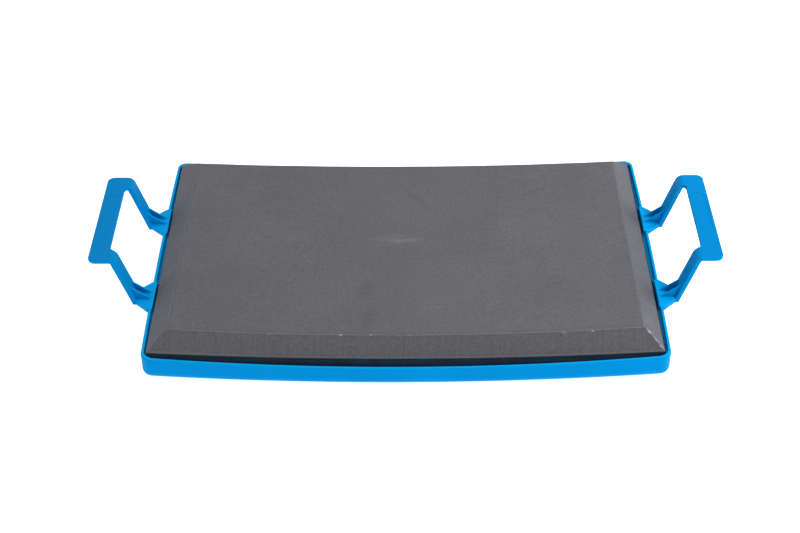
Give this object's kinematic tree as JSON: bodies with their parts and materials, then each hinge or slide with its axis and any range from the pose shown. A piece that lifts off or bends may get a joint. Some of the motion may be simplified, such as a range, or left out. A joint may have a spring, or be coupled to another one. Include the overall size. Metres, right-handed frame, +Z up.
{
  "type": "kneeling board",
  "caption": "Shallow rectangular moulded tray with a gently curved underside, a thick bevelled foam pad set into it, and a rigid bridge handle at each end.",
  "frame": {"origin": "on the floor, under the middle of the whole board, where its curved underside is lowest", "axes": "+X along the length, from handle to handle; +Y away from the user; +Z up"},
  "size_m": [0.6106, 0.3466, 0.0777],
  "materials": {
    "moulded_blue": "satin as moulded, bright blue",
    "glue_film": "dull, cured contact glue",
    "firm_foam": "near-black closed-cell foam, fine skin",
    "soft_foam": "mid grey closed-cell foam, cut faces with fine grain"
  },
  "bodies": {
    "root": {"tray_shell": "moulded_blue", "handle_left": "moulded_blue", "handle_right": "moulded_blue", "glue_sheet": "glue_film", "foam_base": "firm_foam", "foam_pad": "soft_foam"}
  },
  "joints": []
}
